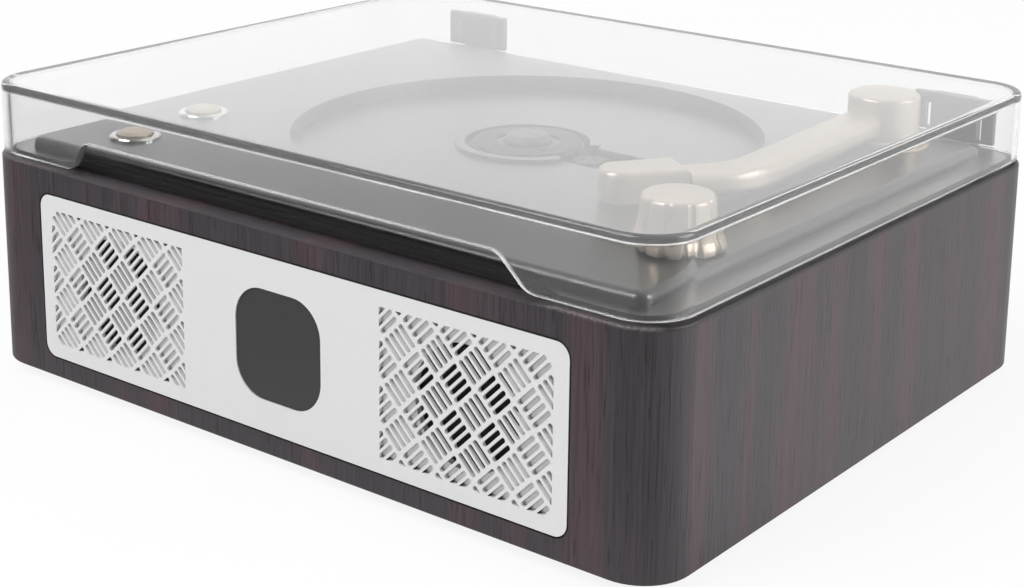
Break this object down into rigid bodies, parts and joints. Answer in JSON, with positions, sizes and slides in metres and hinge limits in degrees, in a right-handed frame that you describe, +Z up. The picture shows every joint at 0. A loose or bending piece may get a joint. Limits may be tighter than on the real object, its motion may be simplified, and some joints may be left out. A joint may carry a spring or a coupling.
{
  "type": "desktop cd player",
  "caption": "Wooden-cabinet desktop CD player styled as a turntable, with clear hinged lid, swivelling arm, knob, push buttons and woven speaker grilles.",
  "frame": {"origin": "on the floor under the middle of the player, hinges included", "axes": "+Z up, +X to the right seen from the front, +Y to the back"},
  "size_m": [0.245, 0.2044, 0.0892],
  "materials": {
    "wood": "dark rosewood-look veneer, satin",
    "silver": "fine brushed silver",
    "window_black": "satin black",
    "deck_black": "moulded black, semi gloss",
    "champagne": "satin champagne anodised",
    "ring_silver": "bright turned ring",
    "clear": "clear acrylic",
    "hinge_black": "moulded black",
    "steel": "ground steel",
    "tray_grey": "moulded dark grey",
    "rubber": "matt black rubber",
    "board": "green circuit board",
    "blockwood": "raw pine",
    "fibre": "black faced fibreboard",
    "paper": "black speaker paper",
    "magnet": "ferrite and plated yoke",
    "brass": "turned brass",
    "lens": "coated lens"
  },
  "bodies": {
    "player": {"cabinet": "wood", "corner_blocks": "blockwood", "bottom_cover": "fibre", "feet": "rubber", "front_panel": "silver", "display_window": "window_black", "display_board": "board", "speaker_basket_left": "tray_grey", "speaker_basket_right": "tray_grey", "speaker_cone_left": "paper", "speaker_cone_right": "paper", "speaker_magnet_left": "magnet", "speaker_magnet_right": "magnet", "deck": "deck_black", "mech_chassis": "tray_grey", "dampers": "rubber", "spindle_motor": "steel", "guide_rods": "steel", "feed_motor": "steel", "main_board": "board", "jack_plate": "hinge_black", "dc_inlet": "hinge_black", "audio_jack": "hinge_black", "switch_body": "steel", "arm_base": "champagne", "arm_bush": "brass", "encoder": "steel", "button_rings": "ring_silver", "button_board": "board", "hinge_bracket_left": "hinge_black", "hinge_bracket_right": "hinge_black", "hinge_pin_left": "steel", "hinge_pin_right": "steel"},
    "lid": {"dust_cover": "clear", "hinge_leaf_left": "hinge_black", "hinge_leaf_right": "hinge_black"},
    "spindle": {"spindle_shaft": "steel", "disc_hub": "tray_grey", "disc_mat": "rubber"},
    "sled": {"pickup_sled": "tray_grey", "objective_lens": "lens"},
    "screw": {"feed_screw": "steel"},
    "arm": {"arm_shaft": "steel", "arm_post": "champagne", "tonearm": "champagne", "headshell": "champagne"},
    "knob": {"volume_knob": "champagne", "encoder_shaft": "brass"},
    "front_button": {"button_front": "champagne"},
    "rear_button": {"button_rear": "champagne"},
    "switch": {"power_slider": "hinge_black"}
  },
  "joints": [
    {"name": "lid_hinge", "type": "hinge", "parent": "player", "child": "lid", "pos_m": [0, 0.1002, 0.0646], "axis": [-1, 0, 0], "range_deg": [0, 75]},
    {"name": "arm_swivel", "type": "hinge", "parent": "player", "child": "arm", "pos_m": [0.0873, 0.0661, 0.0733], "axis": [0, 0, -1], "range_deg": [0, 25]},
    {"name": "knob_turn", "type": "hinge", "parent": "player", "child": "knob", "pos_m": [0.0968, -0.0589, 0.0725], "axis": [0, 0, 1], "range_deg": [-150, 150]},
    {"name": "spindle_spin", "type": "hinge", "parent": "player", "child": "spindle", "pos_m": [0.002, 0.0023, 0.069], "axis": [0, 0, 1], "continuous": true},
    {"name": "sled_feed", "type": "slide", "parent": "player", "child": "sled", "axis": [1, 0, 0], "range_m": [0, 0.034]},
    {"name": "screw_turn", "type": "hinge", "parent": "player", "child": "screw", "pos_m": [0.04, -0.0267, 0.0615], "axis": [1, 0, 0], "range_deg": [-1, 1531]},
    {"name": "front_button_press", "type": "slide", "parent": "player", "child": "front_button", "axis": [0, 0, -1], "range_m": [0, 0.001], "stiffness_N_per_m": 300, "springref_m": -0.0005},
    {"name": "rear_button_press", "type": "slide", "parent": "player", "child": "rear_button", "axis": [0, 0, -1], "range_m": [0, 0.001], "stiffness_N_per_m": 300, "springref_m": -0.0005},
    {"name": "power_slide", "type": "slide", "parent": "player", "child": "switch", "axis": [1, 0, 0], "range_m": [0, 0.003]}
  ],
  "couplings": [
    {"joint": "screw_turn", "follows": "sled_feed", "rad_per_m": 785.4}
  ]
}
